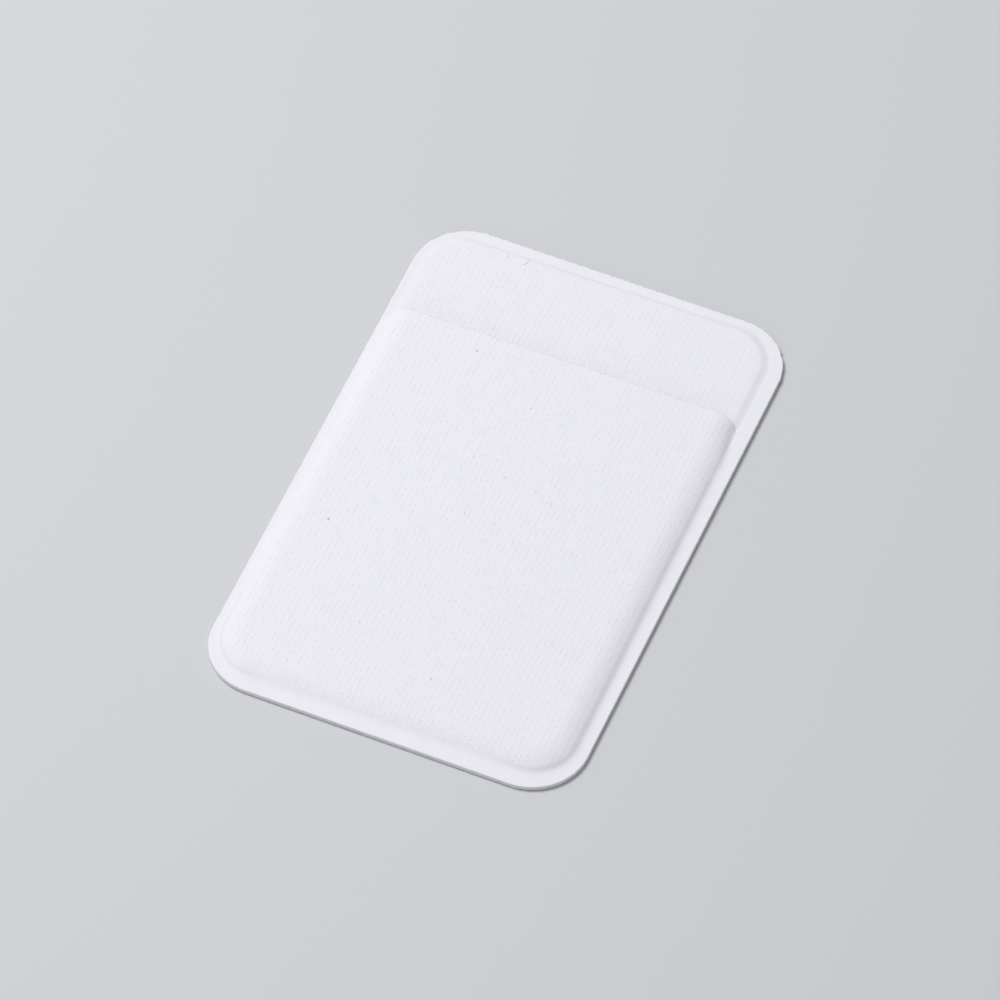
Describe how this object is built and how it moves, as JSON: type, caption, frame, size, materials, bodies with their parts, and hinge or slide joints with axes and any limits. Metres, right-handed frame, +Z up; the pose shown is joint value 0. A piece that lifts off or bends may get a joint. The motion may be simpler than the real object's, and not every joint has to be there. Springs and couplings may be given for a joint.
{
  "type": "stick-on card holder",
  "caption": "Flat knitted card pocket with a moulded front panel, an open mouth at one end and an adhesive back that sticks to a smooth case.",
  "frame": {"origin": "centre of the outline, on the adhesive face that it lies on", "axes": "+Z up, away from the adhesive face; +Y along the long side, towards the mouth; +X to the right when seen from above with the mouth at the top"},
  "size_m": [0.0624, 0.0958, 0.0025],
  "materials": {
    "knit": "fine white knit, matt, slightly bluish",
    "film": "milky hot-melt film",
    "adhesive": "smooth double-sided adhesive sheet, slightly glossy"
  },
  "bodies": {
    "root": {"adhesive_pad": "adhesive", "back_panel": "knit", "bond_film": "film", "front_pocket": "knit"}
  },
  "joints": []
}
